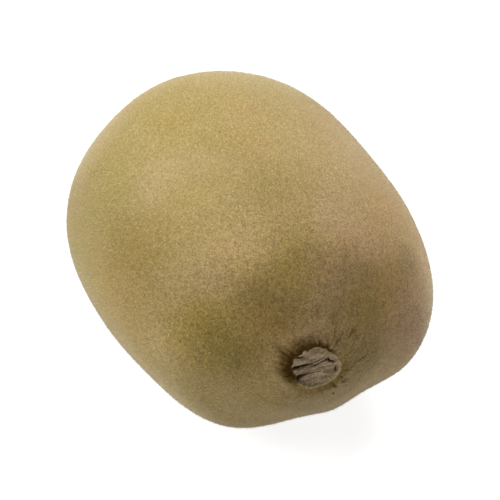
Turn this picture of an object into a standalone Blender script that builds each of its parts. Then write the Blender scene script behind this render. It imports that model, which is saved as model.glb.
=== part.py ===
# A whole kiwi fruit, lying on its side with its stem end towards +X.
# Metres, +Z up. The origin is on the surface that the fruit lies on, under the middle of its box.
# The fruit grew as one piece, so it is one solid: a turned body, a nub with a stem scar, a blossom end.
from math import asin, copysign, cos, exp, pi, radians, sin, tanh

import bmesh
import bpy
from mathutils import Matrix, Vector

MM = 0.001

# Body: half lengths from the widest station, and half of the broad and the narrow way across
STEM_HALF = 33.5 * MM
TIP_HALF = 33.0 * MM
HALF_WIDTH = 28.6 * MM
HALF_DEPTH = 24.7 * MM
SECTION_LEAN = radians(-15)
# Fullness of the shoulders: 2 makes an ellipse, more makes them squarer
STEM_FULLNESS = 2.55
TIP_FULLNESS = 2.6
# Both ends stand this far to the side of and above the middle
END_SHIFT = Vector((-0.3, 1.3)) * MM
# Metres that the stem end's face leans forward for each metre sideways and up
STEM_LEAN = Vector((0.05, 0.02))

# Stem end: a low round nub with a soft edge, and a shallow ring round it
NUB_HEIGHT = 1.4 * MM
NUB_RADIUS = 7.7 * MM
NUB_EDGE = 1.5 * MM
RING_DEPTH = 1.6 * MM
RING_RADIUS = 16.0 * MM
RING_SPREAD = 5.3 * MM

# Low swells and flats: station along the length and height in millimetres, turn in degrees from the
# broad side, in the order station, turn, height, spread
SWELLS = (
    (28.8, 133, 2.3, 6.8),
    (28.0, 80, 1.2, 6.6),
    (29.4, 185, 1.6, 7.1),
    (20.0, 358, 1.0, 11.5),
    (22.2, 334, 0.55, 5.4),
    (25.5, 321, -0.95, 5.5),
    (24.8, 300, 0.35, 3.0),
    (24.0, 287, -0.85, 4.0),
    (21.5, 257, 1.25, 8.6),
    (13.0, 223, -1.1, 9.8),
    (-12.0, 201, 0.55, 10.0),
    (-23.5, 155, -0.95, 10.3),
    (-8.0, 49, -0.9, 10.6),
)

# Stem scar: a sunken disc, deepest on its upper side, with a thin rim and three slits across it
SCAR_RADIUS = 4.2 * MM
SCAR_EDGE = 0.9 * MM
SCAR_DEPTH = 0.75 * MM
SCAR_TILT = 0.45 * MM
SCAR_DEEP_SIDE = Vector((-0.6, 0.8))
RIM_HEIGHT = 0.2 * MM
RIM_SPREAD = 0.5 * MM
SLIT_DEPTH = 0.4 * MM
SLIT_SPREAD = 0.4 * MM
# Each slit from one end to the other, sideways and up from the scar's middle, in millimetres
SLITS = (
    ((-3.2, 0.0), (0.2, 1.2)),
    ((-1.4, -0.3), (2.7, 1.8)),
    ((-3.3, -2.1), (0.9, -0.9)),
)

# Blossom end: a small basin with the dry base of the flower standing in it
BASIN_DEPTH = 0.9 * MM
BASIN_RADIUS = 3.2 * MM
STUB_HEIGHT = 1.1 * MM
STUB_RADIUS = 1.3 * MM

# How far the belly is pressed flat where it rests
REST_PRESS = 0.5 * MM

# Rings of the mesh: close together at both ends, then even steps to the widest station
SEGMENTS = 60
STEM_RING_STEP = 0.4 * MM
STEM_RING_COUNT = 15
STEM_SIDE_RINGS = 20
TIP_RING_STEP = 0.6 * MM
TIP_RING_COUNT = 7
TIP_SIDE_RINGS = 20

SKIN_COLOUR = (0.36, 0.27, 0.12, 1)
SKIN_ROUGHNESS = 0.85


def signed_power(value, power):
    return copysign(abs(value) ** power, value)


def polar_at_radius(radius, fullness):
    """Polar angle of the ring that has this radius, measured from the nearer end."""
    return asin((radius / HALF_WIDTH) ** (fullness / 2))


def ring_angles():
    """Polar angles of the rings from the stem end, 0, to the blossom end, pi."""
    stem = [polar_at_radius(STEM_RING_STEP * k, STEM_FULLNESS) for k in range(1, STEM_RING_COUNT + 1)]
    tip = [polar_at_radius(TIP_RING_STEP * k, TIP_FULLNESS) for k in range(1, TIP_RING_COUNT + 1)]
    stem_step = (pi / 2 - stem[-1]) / STEM_SIDE_RINGS
    tip_step = (pi / 2 - tip[-1]) / TIP_SIDE_RINGS
    stem_side = [stem[-1] + stem_step * k for k in range(1, STEM_SIDE_RINGS + 1)]
    tip_side = [pi / 2 + tip_step * k for k in range(1, TIP_SIDE_RINGS)]
    return stem + stem_side + tip_side + [pi - angle for angle in reversed(tip)]


def body_point(polar, turn):
    """A point of the plain body, and its distance sideways and up from the axis."""
    half, fullness = (STEM_HALF, STEM_FULLNESS) if polar <= pi / 2 else (TIP_HALF, TIP_FULLNESS)
    power = 2 / fullness
    station = signed_power(cos(polar), power) * half
    reach = abs(sin(polar)) ** power
    section = Vector((reach * HALF_WIDTH * cos(turn), reach * HALF_DEPTH * sin(turn)))
    section.rotate(Matrix.Rotation(SECTION_LEAN, 2))
    if polar <= pi / 2:
        radius = section.length
        station += NUB_HEIGHT * 0.5 * (1 - tanh((radius - NUB_RADIUS) / NUB_EDGE))
        station -= RING_DEPTH * exp(-(((radius - RING_RADIUS) / RING_SPREAD) ** 2))
    along = station / half
    lean = STEM_LEAN.dot(section) * along**2 if along > 0 else 0
    place = section + END_SHIFT * along**2
    return Vector((station + lean, place.x, place.y)), section


def swell_sites():
    """Each swell's middle on the body, its outward direction, height and spread."""
    nudge = radians(0.1)
    sites = []
    for station, turn_degrees, height, spread in SWELLS:
        half, fullness = (STEM_HALF, STEM_FULLNESS) if station > 0 else (TIP_HALF, TIP_FULLNESS)
        tilt = asin((abs(station) * MM / half) ** (fullness / 2))
        polar = pi / 2 - copysign(tilt, station)
        turn = radians(turn_degrees)
        middle = body_point(polar, turn)[0]
        along = body_point(polar + nudge, turn)[0] - middle
        around = body_point(polar, turn + nudge)[0] - middle
        sites.append((middle, along.cross(around).normalized(), height * MM, spread * MM))
    return sites


def soft_step(value):
    value = min(max(value, 0), 1)
    return value * value * (3 - 2 * value)


def distance_to_slit(place, slit):
    start, end = (Vector(point) * MM for point in slit)
    run = end - start
    share = min(max((place - start).dot(run) / run.length_squared, 0), 1)
    return (place - start - run * share).length


def stem_scar_height(place):
    """Height of the scar's surface over the plain nub, sideways and up from its middle."""
    radius = place.length
    inside = soft_step((SCAR_RADIUS + SCAR_EDGE - radius) / (2 * SCAR_EDGE))
    depth = SCAR_DEPTH + SCAR_TILT * place.dot(SCAR_DEEP_SIDE) / SCAR_RADIUS
    height = -depth * inside
    height += RIM_HEIGHT * exp(-(((radius - SCAR_RADIUS) / RIM_SPREAD) ** 2))
    for slit in SLITS:
        height -= SLIT_DEPTH * exp(-((distance_to_slit(place, slit) / SLIT_SPREAD) ** 2))
    return height


def blossom_end_height(place):
    radius = place.length
    basin = -BASIN_DEPTH * exp(-((radius / BASIN_RADIUS) ** 2))
    return basin + STUB_HEIGHT * exp(-((radius / STUB_RADIUS) ** 4))


def skin_point(polar, turn, sites):
    """A point of the finished outer surface."""
    base, section = body_point(polar, turn)
    point = base.copy()
    for middle, outward, height, spread in sites:
        point += outward * height * exp(-(base - middle).length_squared / spread**2)
    if base.x > 0:
        point.x += stem_scar_height(section)
    else:
        point.x -= blossom_end_height(section)
    return point


def settle(mesh):
    """Presses the belly flat and moves the fruit so that it rests on Z = 0 over the origin."""
    floor = min(vertex.co.z for vertex in mesh.verts) + REST_PRESS
    for vertex in mesh.verts:
        vertex.co.z = max(vertex.co.z, floor)
    low = Vector(min(vertex.co[axis] for vertex in mesh.verts) for axis in range(3))
    high = Vector(max(vertex.co[axis] for vertex in mesh.verts) for axis in range(3))
    middle = (low + high) / 2
    bmesh.ops.translate(mesh, verts=mesh.verts, vec=(-middle.x, -middle.y, -low.z))


def fruit_mesh():
    sites = swell_sites()
    mesh = bmesh.new()
    turns = [2 * pi * k / SEGMENTS for k in range(SEGMENTS)]
    rings = [[mesh.verts.new(skin_point(polar, turn, sites)) for turn in turns] for polar in ring_angles()]
    stem_pole = mesh.verts.new(skin_point(0, 0, sites))
    tip_pole = mesh.verts.new(skin_point(pi, 0, sites))
    for k in range(SEGMENTS):
        after = (k + 1) % SEGMENTS
        mesh.faces.new((stem_pole, rings[0][k], rings[0][after]))
        mesh.faces.new((tip_pole, rings[-1][after], rings[-1][k]))
        for near, far in zip(rings, rings[1:]):
            mesh.faces.new((near[k], far[k], far[after], near[after]))
    settle(mesh)
    bmesh.ops.recalc_face_normals(mesh, faces=mesh.faces)
    bmesh.ops.triangulate(mesh, faces=mesh.faces)
    data = bpy.data.meshes.new("kiwi_fruit")
    mesh.to_mesh(data)
    mesh.free()
    data.shade_smooth()
    return data


def skin_material():
    material = bpy.data.materials.new("kiwi_skin")
    material.use_nodes = True
    shader = material.node_tree.nodes["Principled BSDF"]
    shader.inputs["Base Color"].default_value = SKIN_COLOUR
    shader.inputs["Roughness"].default_value = SKIN_ROUGHNESS
    shader.inputs["Metallic"].default_value = 0
    return material


def build():
    for old in list(bpy.data.objects):
        bpy.data.objects.remove(old)
    data = fruit_mesh()
    data.materials.append(skin_material())
    fruit = bpy.data.objects.new("kiwi_fruit", data)
    bpy.context.scene.collection.objects.link(fruit)


build()
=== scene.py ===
from math import atan2, cos, exp, pi, radians, sin
from random import Random
from types import SimpleNamespace

import bmesh
import bpy
import numpy
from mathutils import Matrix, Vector, noise


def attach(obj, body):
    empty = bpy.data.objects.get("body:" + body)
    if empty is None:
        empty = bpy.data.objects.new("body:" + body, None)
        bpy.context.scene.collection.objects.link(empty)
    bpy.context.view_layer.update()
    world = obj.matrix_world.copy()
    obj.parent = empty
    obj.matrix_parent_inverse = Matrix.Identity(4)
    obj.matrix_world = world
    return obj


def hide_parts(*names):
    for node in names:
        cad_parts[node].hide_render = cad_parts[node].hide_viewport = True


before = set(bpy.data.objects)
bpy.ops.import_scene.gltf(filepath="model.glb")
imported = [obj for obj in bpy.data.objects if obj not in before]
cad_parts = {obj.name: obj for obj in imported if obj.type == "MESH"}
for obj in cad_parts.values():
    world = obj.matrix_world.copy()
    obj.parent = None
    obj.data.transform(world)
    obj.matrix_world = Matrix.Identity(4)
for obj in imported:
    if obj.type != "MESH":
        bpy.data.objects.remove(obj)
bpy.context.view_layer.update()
print("frame loaded")

mm = 0.001
nodeGap = (200, 180)  # between nodes in the node editor


# helpers for objects
def addObject(name, data):
    thing = bpy.data.objects.new(name, data)
    bpy.context.scene.collection.objects.link(thing)
    return thing


def makePiece(name, mesh, *materials):
    mesh.materials.clear()
    for material in materials:
        mesh.materials.append(material)
    return addObject(name, mesh)


# the mesh that an object's modifiers make; the object itself is removed
def takeMesh(piece):
    graph = bpy.context.evaluated_depsgraph_get()
    mesh = bpy.data.meshes.new_from_object(piece.evaluated_get(graph), depsgraph=graph)
    bpy.data.objects.remove(piece)
    return mesh


# helpers for node trees; a value is a number, a colour or the socket to link
def addNode(tree, kind, place, **settings):
    node = tree.nodes.new(kind)
    node.location = [step * gap for step, gap in zip(place, nodeGap)]
    for name, value in settings.items():
        setattr(node, name, value)
    return node


def setSockets(tree, node, values):
    for name, value in values.items():
        if isinstance(value, bpy.types.NodeSocket):
            tree.links.new(value, node.inputs[name])
        else:
            node.inputs[name].default_value = value


def addMath(tree, place, operation, first, second):
    node = addNode(tree, "ShaderNodeMath", place, operation=operation)
    setSockets(tree, node, {0: first, 1: second})
    return node.outputs[0]


def mapRange(tree, place, value, low, high, toLow=0, toHigh=1, kind="LINEAR"):
    node = addNode(tree, "ShaderNodeMapRange", place, interpolation_type=kind)
    limits = {"From Min": low, "From Max": high, "To Min": toLow, "To Max": toHigh}
    setSockets(tree, node, {"Value": value, **limits})
    return node.outputs["Result"]


def addNoise(tree, place, values):
    node = addNode(tree, "ShaderNodeTexNoise", place)
    setSockets(tree, node, values)
    return node.outputs["Fac"]


def mixColours(tree, place, mask, first, second, blend="MIX"):
    node = addNode(tree, "ShaderNodeMix", place, data_type="RGBA", blend_type=blend)
    setSockets(tree, node, {0: mask, 6: first, 7: second})
    return node.outputs[2]


def newMaterial(name, values):
    material = bpy.data.materials.new(name)
    material.use_nodes = True
    tree = material.node_tree
    shader = tree.nodes["Principled BSDF"]
    shader.location = (5 * nodeGap[0], nodeGap[1])
    setSockets(tree, shader, values)
    return material, tree, shader


def newGroup(name, kind, inputs, outputs):
    group = bpy.data.node_groups.new(name, kind)
    for label, socket, value in inputs:
        made = group.interface.new_socket(label, in_out="INPUT", socket_type=socket)
        if value is not None:
            made.default_value = value
    for label, socket in outputs:
        group.interface.new_socket(label, in_out="OUTPUT", socket_type=socket)
    start = addNode(group, "NodeGroupInput", (-6, 0))
    end = addNode(group, "NodeGroupOutput", (6, 0))
    return group, start.outputs, end


def useGroup(tree, place, group, values):
    node = addNode(tree, "ShaderNodeGroup", place, node_tree=group)
    setSockets(tree, node, values)
    return node.outputs


# helpers for shapes
def smooth(value, low, high):
    share = min(max((value - low) / (high - low), 0), 1)
    return share * share * (3 - 2 * share)


def bell(value, middle, spread):
    return exp(-(((value - middle) / spread) ** 2))


def towards(degreesRound, degreesUp):
    turn, lift = radians(degreesRound), radians(degreesUp)
    return Vector((cos(lift) * cos(turn), cos(lift) * sin(turn), sin(lift)))


# a soft random swing either side of 0: its size, how many waves, and which layer of the noise
def waverAt(place, waver):
    size, waves, layer = waver
    return size * noise.noise(Vector((place[0] * waves, place[1] * waves, layer)))


# the photograph's view: degrees round from +X and up, metres, and the point looked at
photoView = {
    "round": -19.2,
    "up": 38.3,
    "distance": 0.4766,
    "lens": 203.0,
    "nearest": 0.01,
    "aim": Vector((0.0001, 0.0003, 0.025)),
}


# stands a camera or a lamp round the fruit, turned to face it
def standRound(name, data, spot):
    back = towards(spot["round"], spot["up"])
    thing = addObject(name, data)
    thing.location = photoView["aim"] + back * spot["distance"]
    thing.rotation_euler = back.to_track_quat("Z", "Y").to_euler()
    return thing


def addCamera():
    data = bpy.data.cameras.new("photoCamera")
    data.lens = photoView["lens"]
    data.clip_start = photoView["nearest"]
    bpy.context.scene.camera = standRound("photoCamera", data, photoView)


addCamera()


# three soft boxes round a pale floor: where each stands, seen from the fruit, its size and its watts;
# the room and the floor have one glow where the camera sees them and another for the fruit
studio = {
    "lamps": {
        "left": {"round": -99, "up": 34, "distance": 1.1, "size": 0.6, "watts": 13.1},
        "back": {"round": 129, "up": 55, "distance": 1.1, "size": 0.6, "watts": 16.7},
        "right": {"round": 105, "up": 14, "distance": 1.1, "size": 0.6, "watts": 2.2},
    },
    "roomGlow": {"inView": 1, "onFruit": 0.18},
    "floorGlow": {"inView": 0.86, "onFruit": 0.66},
    "floorSize": 3.0,
    "floorColour": (0.3, 0.3, 0.3, 1),
    "floorRoughness": 0.9,
    "floorShine": 0.1,
    "white": (1, 1, 1, 1),
}


def addLamps():
    for name, lamp in studio["lamps"].items():
        data = bpy.data.lights.new(name + "Lamp", "AREA")
        data.size = lamp["size"]
        data.energy = lamp["watts"]
        standRound(name + "Lamp", data, lamp)


def glowStrength(tree, glow):
    seen = addNode(tree, "ShaderNodeLightPath", (-4, 0)).outputs["Is Camera Ray"]
    return mapRange(tree, (-2, 0), seen, 0, 1, glow["onFruit"], glow["inView"])


def addRoom():
    world = bpy.data.worlds.new("paleRoom")
    world.use_nodes = True
    tree = world.node_tree
    strength = glowStrength(tree, studio["roomGlow"])
    setSockets(tree, tree.nodes["Background"], {"Color": studio["white"], "Strength": strength})
    bpy.context.scene.world = world
    bpy.context.scene.view_settings.view_transform = "Standard"


def addFloor():
    half = studio["floorSize"] / 2
    corners = [(-half, -half, 0), (half, -half, 0), (half, half, 0), (-half, half, 0)]
    mesh = bpy.data.meshes.new("floor")
    mesh.from_pydata(corners, [], [(0, 1, 2, 3)])
    material, tree, shader = newMaterial(
        "paleFloor",
        {
            "Base Color": studio["floorColour"],
            "Roughness": studio["floorRoughness"],
            "Specular IOR Level": studio["floorShine"],
            "Emission Color": studio["white"],
        },
    )
    setSockets(tree, shader, {"Emission Strength": glowStrength(tree, studio["floorGlow"])})
    makePiece("floor", mesh, material)


addLamps()
addRoom()
addFloor()
print("camera, light and floor ready")


# soft clouds and a felt-like grain, for the skin and the dry flower. In the felt, tufts are a few grains
# wide, the shade is a sum of three noises that runs over this range, and one grain in twenty is a fleck
felt = {"tuftsPerGrain": 0.3, "sumRange": (0.8, 2.2), "fleckFrom": 0.95, "detail": 2}
clouds = {"Detail": 3, "Distortion": 0.5}


def softPatches():
    group, given, end = newGroup(
        "softPatches",
        "ShaderNodeTree",
        [
            ("Vector", "NodeSocketVector", None),
            ("Per metre", "NodeSocketFloat", 60),
            ("Low", "NodeSocketFloat", 0.4),
            ("High", "NodeSocketFloat", 0.6),
        ],
        [("Mask", "NodeSocketFloat")],
    )
    cloud = addNoise(group, (-2, 0), {"Vector": given["Vector"], "Scale": given["Per metre"], **clouds})
    mask = mapRange(group, (1, 0), cloud, given["Low"], given["High"], kind="SMOOTHSTEP")
    setSockets(group, end, {"Mask": mask})
    return group


def feltGrain():
    group, given, end = newGroup(
        "feltGrain",
        "ShaderNodeTree",
        [
            ("Vector", "NodeSocketVector", None),
            ("Color", "NodeSocketColor", None),
            ("Fleck colour", "NodeSocketColor", (0.5, 0.42, 0.26, 1)),
            ("Grains per metre", "NodeSocketFloat", 3000),
            ("Strength", "NodeSocketFloat", 0.2),
            ("Flecks", "NodeSocketFloat", 0.3),
        ],
        [("Color", "NodeSocketColor"), ("Height", "NodeSocketFloat")],
    )
    place = {"Vector": given["Vector"], "Scale": given["Grains per metre"]}
    cells = addNode(group, "ShaderNodeTexVoronoi", (-4, 1))  # each grain has its own shade
    setSockets(group, cells, place)
    split = addNode(group, "ShaderNodeSeparateColor", (-3, 1))
    setSockets(group, split, {"Color": cells.outputs["Color"]})
    fine = addNoise(group, (-4, -2), {**place, "Detail": felt["detail"]})
    coarser = addMath(group, (-5, -4), "MULTIPLY", given["Grains per metre"], felt["tuftsPerGrain"])
    tufts = addNoise(group, (-4, -4), {**place, "Scale": coarser, "Detail": felt["detail"]})
    both = addMath(group, (-3, -1), "ADD", split.outputs["Red"], fine)
    total = addMath(group, (-2, -1), "ADD", both, tufts)
    darkest = addMath(group, (-2, -3), "SUBTRACT", 1, given["Strength"])
    brightest = addMath(group, (-2, -5), "ADD", 1, given["Strength"])
    shade = mapRange(group, (0, -1), total, *felt["sumRange"], darkest, brightest)
    tinted = addNode(group, "ShaderNodeVectorMath", (2, 0), operation="SCALE")
    setSockets(group, tinted, {0: given["Color"], "Scale": shade})
    fleck = mapRange(group, (-1, 3), split.outputs["Green"], felt["fleckFrom"], 1)
    amount = addMath(group, (1, 3), "MULTIPLY", fleck, given["Flecks"])
    flecked = mixColours(group, (4, 0), amount, tinted.outputs["Vector"], given["Fleck colour"])
    setSockets(group, end, {"Color": flecked, "Height": fine})
    return group


patches = softPatches()
grains = feltGrain()


def usePatches(tree, place, vector, perMetre, limits):
    values = {"Vector": vector, "Per metre": perMetre, "Low": limits[0], "High": limits[1]}
    return useGroup(tree, place, patches, values)["Mask"]


def useGrain(tree, place, vector, colour, grain, strength, flecks):
    made = useGroup(
        tree,
        place,
        grains,
        {
            "Vector": vector,
            "Color": colour,
            "Fleck colour": grain["fleckColour"],
            "Grains per metre": grain["perMetre"],
            "Strength": strength,
            "Flecks": flecks,
        },
    )
    return made["Color"], made["Height"]


def readMask(tree, place, name):
    return addNode(tree, "ShaderNodeAttribute", place, attribute_name=name).outputs["Fac"]


# the skin. Mottle is cloudy and lies all over; blotches are given by their middle and radius in
# millimetres, and their strength. Some blotches are painted light: the dark ones on the stem end's
# underside are partly painted shade, pale ones partly a painted highlight, and the painted rim sheen
# lightens the right outline. Relief is given by its height and its waves to the metre
skin = {
    "oliveGold": (0.258, 0.196, 0.067, 1),
    "brownGold": (0.265, 0.179, 0.0705, 1),
    "browning": {"direction": (1.0, 0.8, -0.1), "from": -22 * mm, "to": 34 * mm},
    "mottle": {
        "olive": {"perMetre": 55, "strength": 0.45},
        "russet": {"perMetre": 90, "strength": 0.4},
        "pale": {"perMetre": 150, "strength": 0.35},
    },
    "mottleLimits": (0.36, 0.66),
    "blotchesAndPaintedLight": {
        # dark spots: darker skin, and on the stem end's underside partly painted shade
        "dark": {
            "tint": (0.66, 0.65, 0.56, 1),
            "places": (
                ((29, -13, 31), 6.0, 0.35), ((32, 9, 26), 5.5, 0.7), ((32, 4, 21), 5.5, 1.0),
                ((31, 1, 16), 6.0, 1.0), ((5, -23, 40), 7.0, 0.32), ((14, -2, 48), 6.0, 0.45),
                ((32, -5, 20), 4.5, 0.25), ((6, -5, 49), 5.0, 0.2), ((13, 6, 48), 7.0, 0.25),
                ((14, -22, 38), 6.0, 0.3), ((22, 20, 34), 3.5, 0.9), ((31, -12, 28), 4.0, 0.4),
                ((28, 12, 38), 2.5, 0.4), ((30, 11, 33), 3.0, 0.4), ((31, 11, 22), 3.0, 0.4),
            ),
        },
        "olive": {
            "tint": (0.94, 0.96, 0.64, 1),
            "places": (
                ((28, -4, 41), 6.0, 0.8), ((29, -13, 34), 5.5, 1.0), ((27, -18, 33), 4.5, 0.8),
                ((29, 12, 32), 6.0, 0.7), ((27, 15, 36), 5.0, 0.4), ((-9, -11, 48), 6.0, 0.5),
                ((-4, -21, 43), 6.0, 0.4), ((7, -23, 40), 6.0, 0.3), ((25, -20, 18), 6.0, 0.7),
                ((29, -16, 29), 6.5, 1.0), ((31, -5, 36), 5.0, 0.8), ((30, 7, 34), 5.0, 0.6),
                ((33, 8, 22), 5.0, 0.8), ((32, 2, 17), 5.0, 0.9), ((31, -7, 18), 5.0, 0.8),
            ),
        },
        "russet": {
            "tint": (1.0, 0.90, 0.82, 1),
            "places": (
                ((28, 15, 33), 6.0, 0.5), ((30, 13, 28), 5.0, 0.5), ((10, -23, 39), 7.0, 0.9),
                ((12, -26, 32), 6.0, 0.7), ((-7, 2, 49), 4.0, 0.6), ((-9, -10, 48), 4.0, 0.5),
                ((3, 0, 49), 5.0, 0.6), ((31, -7, 34), 5.0, 0.6), ((16, 19, 41), 5.0, 0.5),
                ((30, 4, 18), 6.0, 0.8),
            ),
        },
        # pale spots: paler skin, and on the lit upper left partly a painted highlight
        "pale": {
            "tint": (1.14, 1.14, 1.42, 1),
            "places": (
                ((-2, -16, 46), 5.0, 0.8), ((4, -18, 45), 5.0, 0.8), ((12, -8, 48), 7.0, 0.5),
                ((24, -9, 44), 6.0, 0.8), ((20, -17, 41), 5.0, 0.5), ((28, -12, 40), 4.0, 0.5),
                ((31, -3, 33), 5.0, 1.0), ((8, 16, 44), 8.0, 0.4), ((18, 6, 46), 5.0, 0.4),
                ((30, -8, 39), 4.0, 0.6), ((30, 4, 38), 4.5, 0.6), ((32, 3, 33), 4.0, 0.5),
                ((31, -9, 34), 4.0, 0.5), ((26, -21, 28), 5.0, 0.8), ((29, -8, 41), 4.0, 0.4),
                ((30, -4, 37), 3.0, 0.5),
            ),
        },
        # painted rim sheen: lightens the right outline as lit fuzz would
        "paintedRimSheen": {
            "tint": (1.14, 1.07, 1.40, 1),
            "places": (
                ((24, 12, 41), 6.0, 0.6), ((-8, 19, 42), 6.0, 0.8), ((28, 18, 27), 5.5, 1.0),
                ((20, 24, 31), 7.0, 0.55), ((8, 26, 33), 8.0, 0.7), ((26, 22, 20), 6.0, 0.8),
                ((-6, 25, 34), 8.0, 0.6),
            ),
        },
    },
    "roughness": 0.7,
    "shineTint": (1.0, 0.86, 0.66, 1),
    "sheenRoughness": 0.4,
    "sheenTint": (1.0, 0.90, 0.73, 1),
    "finish": {"shine": 0.119, "sheen": 0.34, "flecks": 0.3},
    # the grain's pale flecks stand for lenticels and for painted glints of lit hair tips
    "grain": {"perMetre": 4200, "strength": 0.26, "fleckColour": (0.60, 0.50, 0.31, 1)},
    "grainRises": {"from": 10 * mm, "to": 27 * mm, "toStrength": 0.40},
    "bump": {"Strength": 0.4, "Distance": 0.06 * mm},
    "relief": ((0.06 * mm, 160), (0.03 * mm, 420), (0.02 * mm, 1300)),
    "flatBelow": (0.2 * mm, 1.5 * mm),
    "bareBelow": (0.9 * mm, 1.3 * mm),
    "mesh": {"merge": 0.001 * mm, "flatter": radians(25), "squarer": radians(50), "levels": 2},
}

# the stem scar. Its centre is in the part's own frame, and places are millimetres sideways and up from
# there. A share says how far out a place is: it is 1 at the torn edge. A side says where an effect starts
# and where it is full, from -1, opposite the deep side, to 1 on it; the rim's is the other way round. Each
# slit runs through points given as sideways, up, half width and darkness; that darkness is painted shade
# inside the slit. The pale rim and the pale spots on the folds are painted highlights where they face the
# light
scar = {
    "centre": (0.04 * mm, 25.75 * mm),
    "reach": 16.8,
    "radius": 3.75,
    "edgeWavers": ((0.07, 1.3, 4), (0.035, 5, 9)),
    "deepSide": Vector((-0.6, 0.8)),
    "wider": {"by": 0.34, "side": (0.35, 1), "waver": (0.12, 6, 5)},
    "depth": 0.5,
    "tilt": 0.1,
    "wall": (0.84, 1.02),
    "moat": {"height": 0.12, "share": 0.98, "spread": 0.10, "side": (-0.1, 0.8)},
    "lip": {"height": 0.12, "share": 1.28, "spread": 0.12, "side": (-0.2, 0.8)},
    "rim": {"height": 0.16, "share": 0.99, "spread": 0.05, "side": (-0.35, 0.45)},
    "rimBroken": {"mean": 0.65, "waver": (0.7, 4, 2)},
    "foldWays": (Vector((0.93, 0.36)), Vector((-0.36, 0.93))),
    "folds": ((0.16, 0.45, 1.5, 1), (0.08, 1.1, 3.8, 7)),
    "slitDepth": 0.4,
    "slitSteepness": 4,
    "slitWaver": (0.10, 2.3, 3),
    "slitEnd": (0.93, 1.03),
    "slitShade": 1.15,
    "slits": (
        ((-3.9, 0.75, 0.26, 0.9), (-3.0, 0.78, 0.36, 1.0), (-1.85, 0.88, 0.24, 0.9),
         (-0.8, 1.05, 0.12, 0.7), (0.25, 1.4, 0.08, 0.35), (1.35, 1.9, 0.08, 0.15)),
        ((-0.86, 0.42, 0.08, 0.4), (0.5, 0.82, 0.14, 0.85), (1.3, 1.13, 0.18, 1.0),
         (1.9, 1.36, 0.23, 1.0), (2.35, 0.85, 0.18, 0.9), (2.95, 0.5, 0.16, 0.9)),
        ((-3.75, -1.4, 0.30, 1.0), (-3.2, -1.45, 0.46, 1.0), (-2.4, -1.2, 0.30, 0.95),
         (-1.5, -0.95, 0.15, 0.8), (-0.4, -0.92, 0.09, 0.55), (0.6, -0.86, 0.07, 0.3)),
        ((3.2, -0.5, 0.13, 0.7), (3.2, -1.3, 0.15, 0.8)),
        ((-1.95, 5.0, 0.35, 1.0), (-1.75, 4.3, 0.28, 1.0), (-1.35, 3.8, 0.18, 0.7)),
        ((-3.6, 2.9, 0.22, 0.8), (-2.7, 2.75, 0.16, 0.6), (-1.9, 2.9, 0.09, 0.3)),
    ),
    # pale spots on the membrane's folds: painted highlights where the folds face the light
    "paintedFoldHighlights": ((0.75, 3.3, 0.13), (0.8, 3.6, 0.13), (-3.6, 0.1, 0.2), (-2.4, 0.0, 0.16)),
    "membraneEnd": (0.92, 1.0),
    "membrane": (0.345, 0.26, 0.163, 1),
    "membraneDark": (0.205, 0.15, 0.088, 1),
    "streaks": {"perMetre": 800, "limits": (0.4, 0.64), "turn": radians(-21), "squeeze": (1, 0.4, 1.6)},
    # near black: painted shade inside the slits
    "slitShadeColour": (0.030, 0.019, 0.009, 1),
    # pale: painted highlight on the rim and the folds that face the light
    "rimHighlightColour": (0.42, 0.33, 0.19, 1),
    # the stain's colour, which also paints the shade in the hollow and in the creases
    "stainAndShadeColour": (0.17, 0.13, 0.05, 1),
    "finish": {"shine": 0, "sheen": 0, "flecks": 0.06},
    "finishFrom": 0.4,
    "lipRing": (5.1, 5.6),
    "blend": {"from": 4.7, "fromShare": 1.04, "to": 5.6, "toShare": 1.3},
    "fuzzFrom": (0.96, 1.05),
}

# the dark ring round the scar, partly a brown stain and partly painted shade, which is strongest on the
# deep side where the hollow's wall and lip lie in shade: where it starts and fades out, how much further it
# goes on its wide side, and a thin line at the torn edge
stainAndShade = {
    "strength": 0.93,
    "side": (-0.3, 0.6),
    "wideSide": Vector((-0.87, 0.5)),
    "wideLimits": (0.2, 0.9),
    "start": (0.9, 0.97),
    "fade": (1.04, 1.30),
    "wideFade": (0.12, 0.42),
    "waver": (0.10, 1.1, 6),
    "line": {"strength": 0.15, "share": 1.05, "spread": 0.06},
}

# fine creases that run out from the scar, most of all to its right; their hollows get painted shade
creases = {
    "height": 0.13,
    "spokes": 16,
    "drift": 1.6,
    "start": (1.02, 1.2),
    "end": (1.7, 3.0),
    "least": 0.35,
    "right": (-0.2, 0.7),
    "shade": 1.2,
}

# the blossom end. Its centre is in the part's own frame, and the rest is in millimetres from there: a
# ragged stain, and a bare spot under the dry flower
blossom = {
    "centre": (-0.2 * mm, 25.8 * mm),
    "stainAndShade": 0.95,
    "stainRadius": 3.3,
    "ragged": {"size": 0.5, "spokes": 7, "drift": 0.3},
    "bare": (0.8, 2.0),
    "thinner": 0.7,
}


# the CAD solid as one closed mesh, mostly of four-sided faces
def mergedFruit():
    mesh = bmesh.new()
    mesh.from_mesh(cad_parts["kiwi_fruit"].data)
    bmesh.ops.remove_doubles(mesh, verts=mesh.verts, dist=skin["mesh"]["merge"])
    bmesh.ops.join_triangles(
        mesh,
        faces=mesh.faces,
        angle_face_threshold=skin["mesh"]["flatter"],
        angle_shape_threshold=skin["mesh"]["squarer"],
    )
    return mesh


def refine(mesh, levels):
    data = bpy.data.meshes.new("refined")
    mesh.to_mesh(data)
    mesh.free()
    piece = addObject("refined", data)
    finer = piece.modifiers.new("finer", "SUBSURF")
    finer.levels = levels
    finer.render_levels = levels
    return takeMesh(piece)


def skinRelief(point):
    return sum(height * noise.noise(point * waves) for height, waves in skin["relief"])


def blotchAt(point, places):
    total = sum(strength * bell((point / mm - Vector(middle)).length, 0, radius)
                for middle, radius, strength in places)
    return min(total, 1)


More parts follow.
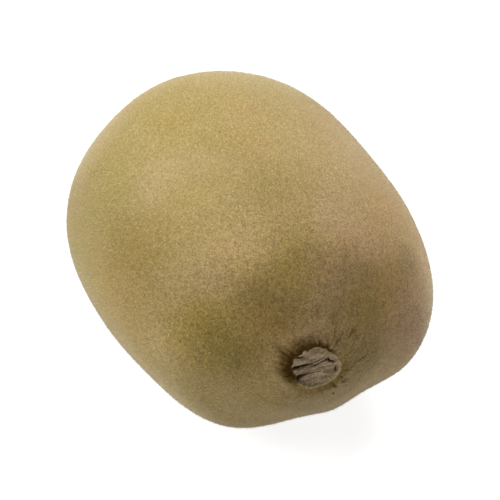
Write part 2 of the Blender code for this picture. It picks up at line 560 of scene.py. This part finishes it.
# where a place is on the scar: its turn and direction from the middle, how far round to the deep side,
# the radius of the torn edge there, and its share of that radius
def scarSpot(place):
    turn = atan2(place.y, place.x)
    out = Vector((cos(turn), sin(turn)))
    deep = out.dot(scar["deepSide"])
    wider = scar["wider"]
    waver = sum(waverAt(out, each) for each in scar["edgeWavers"])
    waver += (wider["by"] + waverAt(out, wider["waver"])) * smooth(deep, *wider["side"])
    edge = scar["radius"] * (1 + waver)
    return SimpleNamespace(place=place, turn=turn, out=out, deep=deep, edge=edge, share=place.length / edge)


# how strong a ring round the scar is, from 0 to 1
def ringAt(spot, ring, deep):
    return bell(spot.share, ring["share"], ring["spread"]) * smooth(deep, *ring["side"])


def rimAt(spot):
    broken = scar["rimBroken"]["mean"] + waverAt(spot.out, scar["rimBroken"]["waver"])
    return ringAt(spot, scar["rim"], -spot.deep) * broken


def slitAt(spot):
    darkest = 0
    for points in scar["slits"]:
        for first, second in zip(points, points[1:]):
            start, run = Vector(first[:2]), Vector(second[:2]) - Vector(first[:2])
            along = min(max((spot.place - start).dot(run) / run.length_squared, 0), 1)
            away = (spot.place - start - run * along).length + waverAt(spot.place, scar["slitWaver"])
            wide = first[2] + (second[2] - first[2]) * along
            dark = first[3] + (second[3] - first[3]) * along
            darkest = max(darkest, dark * exp(-((max(away, 0) / wide) ** scar["slitSteepness"])))
    return darkest * (1 - smooth(spot.share, *scar["slitEnd"]))


def foldAt(place):
    along, across = (place.dot(way) for way in scar["foldWays"])
    return sum(
        size * noise.noise(Vector((along * wavesAlong, across * wavesAcross, layer)))
        for size, wavesAlong, wavesAcross, layer in scar["folds"]
    )


# height over the lip round the scar, in millimetres
def scarHeight(spot, inside, slit, rim):
    bottom = scar["depth"] + scar["tilt"] * spot.deep * min(spot.share, 1)
    height = (foldAt(spot.place) - bottom) * inside
    height -= scar["moat"]["height"] * ringAt(spot, scar["moat"], spot.deep)
    height -= scar["slitDepth"] * slit
    height += scar["rim"]["height"] * rim
    return height + scar["lip"]["height"] * ringAt(spot, scar["lip"], spot.deep)


def stainAndShadeAt(spot):
    wide = smooth(spot.out.dot(stainAndShade["wideSide"]), *stainAndShade["wideLimits"])
    fadeFrom, fadeTo = (limit + more * wide for limit, more in zip(stainAndShade["fade"], stainAndShade["wideFade"]))
    ragged = spot.share + waverAt(spot.place, stainAndShade["waver"])
    body = smooth(spot.deep, *stainAndShade["side"]) * smooth(spot.share, *stainAndShade["start"])
    body *= stainAndShade["strength"] * (1 - smooth(ragged, fadeFrom, fadeTo))
    line = stainAndShade["line"]
    return body + line["strength"] * bell(spot.share, line["share"], line["spread"])


def creaseAt(spot):
    across = (cos(spot.turn), sin(spot.turn))
    spokes = waverAt(across, (1, creases["spokes"], spot.share * creases["drift"]))
    reach = smooth(spot.share, *creases["start"]) * (1 - smooth(spot.share, *creases["end"]))
    right = smooth(cos(spot.turn), *creases["right"])
    return spokes * reach * (creases["least"] + (1 - creases["least"]) * right)


# moves one place of the stem end and fills its masks; lip is where the plane of the scar's lip is there
def shapeStemEnd(place, masks, fromScar, lip):
    spot = scarSpot(fromScar / mm)
    inside = 1 - smooth(spot.share, *scar["wall"])
    slit, rim, crease = slitAt(spot), rimAt(spot), creaseAt(spot)
    blend = scar["blend"]
    blendFrom = max(blend["from"], blend["fromShare"] * spot.edge)
    blendTo = max(blend["to"], blend["toShare"] * spot.edge)
    hold = smooth(fromScar.length / mm, blendFrom, blendTo)
    dished = lip + scarHeight(spot, inside, slit, rim) * mm
    place.x = dished * (1 - hold) + place.x * hold + crease * creases["height"] * mm
    # pale spots on the folds and the rim are painted highlights
    fleck = max(bell((spot.place - Vector((y, z))).length, 0, size) for y, z, size in scar["paintedFoldHighlights"])
    masks["scar"] = 1 - smooth(spot.share, *scar["membraneEnd"])
    # the slit mask paints shade inside the slits
    masks["slit"] = min(slit * scar["slitShade"], 1)
    masks["rim"] = min(max(rim, fleck * inside), 1)
    # the stain mask holds the brown stain with painted shade of the hollow, plus painted shade in the
    # creases' hollows
    masks["stainAndShade"] = min(min(stainAndShadeAt(spot), 1) + max(-crease, 0) * creases["shade"], 1)
    masks["fuzz"] *= smooth(spot.share, *scar["fuzzFrom"]) * (1 - masks["stainAndShade"])


def shadeBlossomEnd(masks, away):
    fromTip, turn = away.length, atan2(away.y, away.x)
    ragged = blossom["ragged"]
    swing = (ragged["size"], ragged["spokes"], fromTip * ragged["drift"])
    reach = fromTip * (1 + waverAt((cos(turn), sin(turn)), swing))
    masks["stainAndShade"] = blossom["stainAndShade"] * bell(reach, 0, blossom["stainRadius"])
    masks["fuzz"] *= smooth(fromTip, *blossom["bare"]) * (1 - blossom["thinner"] * masks["stainAndShade"])


# the plane through the lip round the scar: x = level + slopes times sideways and up
def lipPlane(mesh, scarMiddle):
    near, far = (limit * mm for limit in scar["lipRing"])
    offsets = [vertex.co - scarMiddle for vertex in mesh.verts if vertex.co.x > 0]
    points = [offset for offset in offsets if near < offset.yz.length < far]
    places = numpy.array([(1, point.y, point.z) for point in points])
    return numpy.linalg.lstsq(places, numpy.array([point.x for point in points]), rcond=None)[0]


def browningColour(tree, place):
    browning = skin["browning"]
    along = addNode(tree, "ShaderNodeVectorMath", (-10, -2), operation="DOT_PRODUCT")
    setSockets(tree, along, {0: place, 1: browning["direction"]})
    limits = (browning["from"], browning["to"])
    brown = mapRange(tree, (-8, -2), along.outputs["Value"], *limits, kind="SMOOTHSTEP")
    return mixColours(tree, (-7, 1), brown, skin["oliveGold"], skin["brownGold"])


def mottledColour(tree, place, body):
    for step, (kind, cloud) in enumerate(skin["mottle"].items()):
        mask = usePatches(tree, (-10, 2 + 2 * step), place, cloud["perMetre"], skin["mottleLimits"])
        weaker = addMath(tree, (-8, 2 + 2 * step), "MULTIPLY", mask, cloud["strength"])
        tint = skin["blotchesAndPaintedLight"][kind]["tint"]
        body = mixColours(tree, (-6 + 0.5 * step, 1), weaker, body, tint, "MULTIPLY")
    # the listed spots, some of which are painted shade, painted highlight and painted rim sheen
    for step, (kind, blotch) in enumerate(skin["blotchesAndPaintedLight"].items()):
        mask = readMask(tree, (-6 + step, -2), kind)
        body = mixColours(tree, (-5 + 0.6 * step, 1), mask, body, blotch["tint"], "MULTIPLY")
    return body


# the membrane is streaked along its slits; over it go the stain with its painted shade, the painted
# shade in the slits and the painted highlights on the rim and folds
def scarColour(tree, place, body):
    streaks = scar["streaks"]
    drawn = addNode(tree, "ShaderNodeMapping", (-8, -5))
    setSockets(
        tree, drawn, {"Vector": place, "Rotation": (streaks["turn"], 0, 0), "Scale": streaks["squeeze"]}
    )
    vector = drawn.outputs["Vector"]
    streak = usePatches(tree, (-6, -5), vector, streaks["perMetre"], streaks["limits"])
    membrane = mixColours(tree, (-4, -5), streak, scar["membrane"], scar["membraneDark"])
    layers = (
        ("scar", membrane, "MIX"),
        ("stainAndShade", scar["stainAndShadeColour"], "MULTIPLY"),
        ("slit", scar["slitShadeColour"], "MIX"),
        ("rim", scar["rimHighlightColour"], "MIX"),
    )
    for step, (kind, colour, blend) in enumerate(layers):
        mask = readMask(tree, (-3 + step, -3.5), kind)
        body = mixColours(tree, (-2 + step, 1), mask, body, colour, blend)
    return body


# the coat is rougher towards the stem end
def grainStrength(tree, place):
    rises = skin["grainRises"]
    axes = addNode(tree, "ShaderNodeSeparateXYZ", (-1, 4))
    setSockets(tree, axes, {"Vector": place})
    strengths = (skin["grain"]["strength"], rises["toStrength"])
    return mapRange(tree, (1, 4), axes.outputs["X"], rises["from"], rises["to"], *strengths)


def skinMaterial(name, finish):
    material, tree, shader = newMaterial(
        name,
        {
            "Roughness": skin["roughness"],
            "Specular IOR Level": finish["shine"],
            "Specular Tint": skin["shineTint"],
            "Sheen Weight": finish["sheen"],
            "Sheen Roughness": skin["sheenRoughness"],
            "Sheen Tint": skin["sheenTint"],
        },
    )
    place = addNode(tree, "ShaderNodeTexCoord", (-12, 0)).outputs["Object"]
    body = scarColour(tree, place, mottledColour(tree, place, browningColour(tree, place)))
    strength = grainStrength(tree, place)
    colour, height = useGrain(tree, (2, 1), place, body, skin["grain"], strength, finish["flecks"])
    bump = addNode(tree, "ShaderNodeBump", (3, -2))
    setSockets(tree, bump, {**skin["bump"], "Height": height})
    setSockets(tree, shader, {"Base Color": colour, "Normal": bump.outputs["Normal"]})
    return material


# faces of the scar and of its stain and painted shade, which are dull
def dullFaces(mesh, layers):
    dull = []
    for index, face in enumerate(mesh.faces):
        covered = [max(vertex[layers["stainAndShade"]], vertex[layers["scar"]]) for vertex in face.verts]
        if sum(covered) / len(covered) > scar["finishFrom"]:
            dull.append(index)
    return dull


def makeSkin():
    data = refine(mergedFruit(), skin["mesh"]["levels"])
    mesh = bmesh.new()
    mesh.from_mesh(data)
    mesh.normal_update()
    names = ["scar", "slit", "rim", "stainAndShade", "fuzz"] + list(skin["blotchesAndPaintedLight"])
    layers = {name: mesh.verts.layers.float.new(name) for name in names}
    scarMiddle = Vector((0, *scar["centre"]))
    tipMiddle = Vector((0, *blossom["centre"]))
    level, slopeY, slopeZ = lipPlane(mesh, scarMiddle)
    moved = []
    for vertex in mesh.verts:
        point = vertex.co
        onFloor = 1 - smooth(point.z, *skin["flatBelow"])
        place = point + vertex.normal * skinRelief(point) * (1 - onFloor)
        masks = {kind: blotchAt(point, blotch["places"]) for kind, blotch in skin["blotchesAndPaintedLight"].items()}
        masks["fuzz"] = smooth(point.z, *skin["bareBelow"])
        fromScar = (point - scarMiddle).yz
        if point.x > 0 and fromScar.length < scar["reach"] * mm:
            shapeStemEnd(place, masks, fromScar, level + slopeY * fromScar.x + slopeZ * fromScar.y)
        elif point.x < 0:
            shadeBlossomEnd(masks, (point - tipMiddle).yz / mm)
        moved.append(place)
        for name, value in masks.items():
            vertex[layers[name]] = value
    for vertex, place in zip(mesh.verts, moved):
        vertex.co = (place.x, place.y, max(place.z, 0))
    dull = dullFaces(mesh, layers)
    mesh.to_mesh(data)
    mesh.free()
    data.shade_smooth()
    soft = skinMaterial("kiwiSkin", skin["finish"])
    piece = makePiece("skin", data, soft, skinMaterial("kiwiScar", scar["finish"]))
    for index in dull:
        data.polygons[index].material_index = 1
    return piece


fruitSkin = makeSkin()
print("skin made:", len(fruitSkin.data.polygons), "faces")


# short soft hairs, in metres and radians of lean; each coat is one piece of one colour. Skin shading is
# how much a hair takes its shading from the skin that it grows on
fuzz = {
    "perSquareMetre": 5.2e6,
    "sizes": (0.55, 1.35),
    "sides": 3,
    "roughness": 0.6,
    "shine": 0.3,
    "skinShading": 0.75,
    "coats": {
        "fuzz_pale": {"length": 0.34 * mm, "thick": 0.030 * mm, "lean": (0.2, 0.9), "seed": 3,
                      "colour": (0.58, 0.49, 0.31, 1)},
        "fuzz_gold": {"length": 0.30 * mm, "thick": 0.032 * mm, "lean": (0.3, 1.2), "seed": 11,
                      "colour": (0.42, 0.32, 0.15, 1)},
        "fuzz_brown": {"length": 0.27 * mm, "thick": 0.032 * mm, "lean": (0.4, 1.25), "seed": 19,
                       "colour": (0.24, 0.165, 0.07, 1)},
    },
}


def addRandom(tree, place, low, high, seed):
    node = addNode(tree, "FunctionNodeRandomValue", place, data_type="FLOAT")
    setSockets(tree, node, {2: low, 3: high, "Seed": seed})
    return node.outputs[1]


def turnAbout(tree, place, axis, angle):
    node = addNode(tree, "FunctionNodeAxisAngleToRotation", place)
    setSockets(tree, node, {"Axis": axis, "Angle": angle})
    return node.outputs["Rotation"]


def turnedBy(tree, place, rotation, turn):
    node = addNode(tree, "FunctionNodeRotateRotation", place, rotation_space="LOCAL")
    setSockets(tree, node, {"Rotation": rotation, "Rotate By": turn})
    return node.outputs["Rotation"]


# where hairs grow, thickest where the skin's fuzz mask is 1; each root keeps the skin's normal
def fuzzRoots(group, given):
    mask = addNode(group, "GeometryNodeInputNamedAttribute", (-5, 2), data_type="FLOAT")
    setSockets(group, mask, {"Name": "fuzz"})
    hairs = given["Hairs per square metre"]
    density = addMath(group, (-4, 1), "MULTIPLY", mask.outputs["Attribute"], hairs)
    roots = addNode(group, "GeometryNodeDistributePointsOnFaces", (-3, 0))
    setSockets(group, roots, {"Mesh": given["Skin"], "Density": density, "Seed": given["Seed"]})
    facing = addNode(group, "GeometryNodeStoreNamedAttribute", (1, 0), data_type="FLOAT_VECTOR")
    normal = roots.outputs["Normal"]
    setSockets(
        group, facing, {"Name": "skinNormal", "Geometry": roots.outputs["Points"], "Value": normal}
    )
    return facing.outputs["Geometry"], roots.outputs["Rotation"]


def oneHair(group, given):
    radius = addMath(group, (-4, -3), "MULTIPLY", given["Thickness"], 0.5)
    hair = addNode(group, "GeometryNodeMeshCone", (-3, -3), fill_type="NONE")
    setSockets(
        group,
        hair,
        {"Vertices": fuzz["sides"], "Radius Bottom": radius, "Radius Top": 0, "Depth": given["Length"]},
    )
    return hair.outputs["Mesh"]


def fuzzTree():
    group, given, end = newGroup(
        "shortFuzz",
        "GeometryNodeTree",
        [
            ("Skin", "NodeSocketGeometry", None),
            ("Hairs per square metre", "NodeSocketFloat", 1e6),
            ("Length", "NodeSocketFloat", 0.5 * mm),
            ("Thickness", "NodeSocketFloat", 0.04 * mm),
            ("Least lean", "NodeSocketFloat", 0.3),
            ("Most lean", "NodeSocketFloat", 1.0),
            ("Seed", "NodeSocketInt", 1),
            ("Material", "NodeSocketMaterial", None),
        ],
        [("Hairs", "NodeSocketGeometry")],
    )
    roots, standing = fuzzRoots(group, given)
    spin = addRandom(group, (-3, 4), 0, 2 * pi, given["Seed"])
    tilt = addRandom(group, (-3, 6), given["Least lean"], given["Most lean"], given["Seed"])
    size = addRandom(group, (-3, 8), *fuzz["sizes"], 0)
    turned = turnedBy(group, (0, 3), standing, turnAbout(group, (-1, 4), (0, 0, 1), spin))
    leant = turnedBy(group, (1, 3), turned, turnAbout(group, (-1, 6), (1, 0, 0), tilt))
    hairs = addNode(group, "GeometryNodeInstanceOnPoints", (2, 0))
    values = {"Points": roots, "Instance": oneHair(group, given), "Rotation": leant, "Scale": size}
    setSockets(group, hairs, values)
    real = addNode(group, "GeometryNodeRealizeInstances", (3, 0))
    setSockets(group, real, {"Geometry": hairs.outputs["Instances"]})
    finish = addNode(group, "GeometryNodeSetMaterial", (4, 0))
    setSockets(group, finish, {"Geometry": real.outputs["Geometry"], "Material": given["Material"]})
    setSockets(group, end, {"Hairs": finish.outputs["Geometry"]})
    return group


def setInputs(modifier, values):
    for item in modifier.node_group.interface.items_tree:
        if item.item_type == "SOCKET" and item.in_out == "INPUT" and item.name in values:
            modifier[item.identifier] = values[item.name]


# a hair is shaded partly as the skin is, so that the coat looks soft at the outline too
def shadeLikeSkin(mesh):
    mesh.shade_smooth()
    size = len(mesh.vertices) * 3
    hairWay, skinWay = numpy.empty(size, numpy.float32), numpy.empty(size, numpy.float32)
    mesh.vertex_normals.foreach_get("vector", hairWay)
    stored = mesh.attributes["skinNormal"]
    stored.data.foreach_get("vector", skinWay)
    mixed = (hairWay * (1 - fuzz["skinShading"]) + skinWay * fuzz["skinShading"]).reshape(-1, 3)
    mixed /= numpy.linalg.norm(mixed, axis=1, keepdims=True)
    mesh.attributes.remove(stored)
    mesh.normals_split_custom_set_from_vertices(mixed)


def growCoat(name, coat, tree):
    looks = {"Roughness": fuzz["roughness"], "Specular IOR Level": fuzz["shine"]}
    material = newMaterial(name, {"Base Color": coat["colour"], **looks})[0]
    carrier = addObject(name + "Carrier", fruitSkin.data)
    grow = carrier.modifiers.new("fuzz", "NODES")
    grow.node_group = tree
    setInputs(
        grow,
        {
            "Hairs per square metre": fuzz["perSquareMetre"],
            "Length": coat["length"],
            "Thickness": coat["thick"],
            "Least lean": coat["lean"][0],
            "Most lean": coat["lean"][1],
            "Seed": coat["seed"],
            "Material": material,
        },
    )
    mesh = takeMesh(carrier)
    shadeLikeSkin(mesh)
    print(name, len(mesh.polygons), "faces")
    return makePiece(name, mesh, material)


def growFuzz():
    tree = fuzzTree()
    return [growCoat(name, coat, tree) for name, coat in fuzz["coats"].items()]


fuzzCoats = growFuzz()


# what is left of the flower at the far end: dry threads round a short stub, in millimetres
dryFlower = {
    "threads": 64,
    "length": (1.6, 3.8),
    "thick": 0.17,
    "taper": 0.7,
    "steps": 7,
    "sides": 5,
    "ring": (0.2, 1.5),
    "stagger": 0.35,
    "curl": (0.6, 1.75),
    "curlPower": 1.4,
    "seed": 7,
    "sink": 0.45,
    "colour": (0.060, 0.038, 0.019, 1),
    "paler": (0.15, 0.105, 0.055, 1),
    "patches": {"perMetre": 900, "limits": (0.4, 0.65)},
    "grain": {"perMetre": 5000, "strength": 0.3, "fleckColour": (0.22, 0.16, 0.09, 1)},
    "flecks": 0.2,
    "roughness": 0.8,
    "shine": 0.2,
}


def dryFlowerMaterial():
    looks = {"Roughness": dryFlower["roughness"], "Specular IOR Level": dryFlower["shine"]}
    material, tree, shader = newMaterial("dryFlower", looks)
    place = addNode(tree, "ShaderNodeTexCoord", (-6, 0)).outputs["Object"]
    patch, grain = dryFlower["patches"], dryFlower["grain"]
    mask = usePatches(tree, (-4, 0), place, patch["perMetre"], patch["limits"])
    body = mixColours(tree, (-3, 0), mask, dryFlower["colour"], dryFlower["paler"])
    colour = useGrain(tree, (-2, 0), place, body, grain, grain["strength"], dryFlower["flecks"])[0]
    setSockets(tree, shader, {"Base Color": colour})
    return material


# one thread: rings of points round a line that rises, then curls outwards
def addThread(mesh, base, turn, length, curl):
    up = Vector((-1, 0, 0))
    out = Vector((0, cos(turn), sin(turn)))
    side = Vector((0, -sin(turn), cos(turn)))
    steps, sides = dryFlower["steps"], dryFlower["sides"]
    rings = []
    for step in range(steps):
        share = step / (steps - 1)
        bend = curl * share ** dryFlower["curlPower"]
        centre = base + (up * cos(bend) + out * sin(bend)) * length * share
        across = up * -sin(bend) + out * cos(bend)
        radius = dryFlower["thick"] * mm / 2 * (1 - dryFlower["taper"] * share)
        ring = []
        for k in range(sides):
            angle = 2 * pi * k / sides
            ring.append(mesh.verts.new(centre + (across * cos(angle) + side * sin(angle)) * radius))
        rings.append(ring)
    for near, far in zip(rings, rings[1:]):
        for k in range(sides):
            after = (k + 1) % sides
            mesh.faces.new((near[k], near[after], far[after], far[k]))
    mesh.faces.new(rings[-1])
    mesh.faces.new(list(reversed(rings[0])))


def makeDryFlower():
    draw = Random(dryFlower["seed"])
    tip = min(vertex.co.x for vertex in fruitSkin.data.vertices)
    middle = Vector((tip + dryFlower["sink"] * mm, *blossom["centre"]))
    mesh = bmesh.new()
    for k in range(dryFlower["threads"]):
        stagger = draw.uniform(-dryFlower["stagger"], dryFlower["stagger"])
        turn = 2 * pi * (k + stagger) / dryFlower["threads"]
        ring = draw.uniform(*dryFlower["ring"]) * mm
        base = middle + Vector((0, cos(turn), sin(turn))) * ring
        length = draw.uniform(*dryFlower["length"]) * mm
        addThread(mesh, base, turn, length, draw.uniform(*dryFlower["curl"]))
    bmesh.ops.recalc_face_normals(mesh, faces=mesh.faces)
    data = bpy.data.meshes.new("dry_flower")
    mesh.to_mesh(data)
    mesh.free()
    data.shade_smooth()
    return makePiece("dry_flower", data, dryFlowerMaterial())


flower = makeDryFlower()
print("dry flower made")

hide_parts("kiwi_fruit")
for piece in [fruitSkin, flower] + fuzzCoats:
    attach(piece, "root")
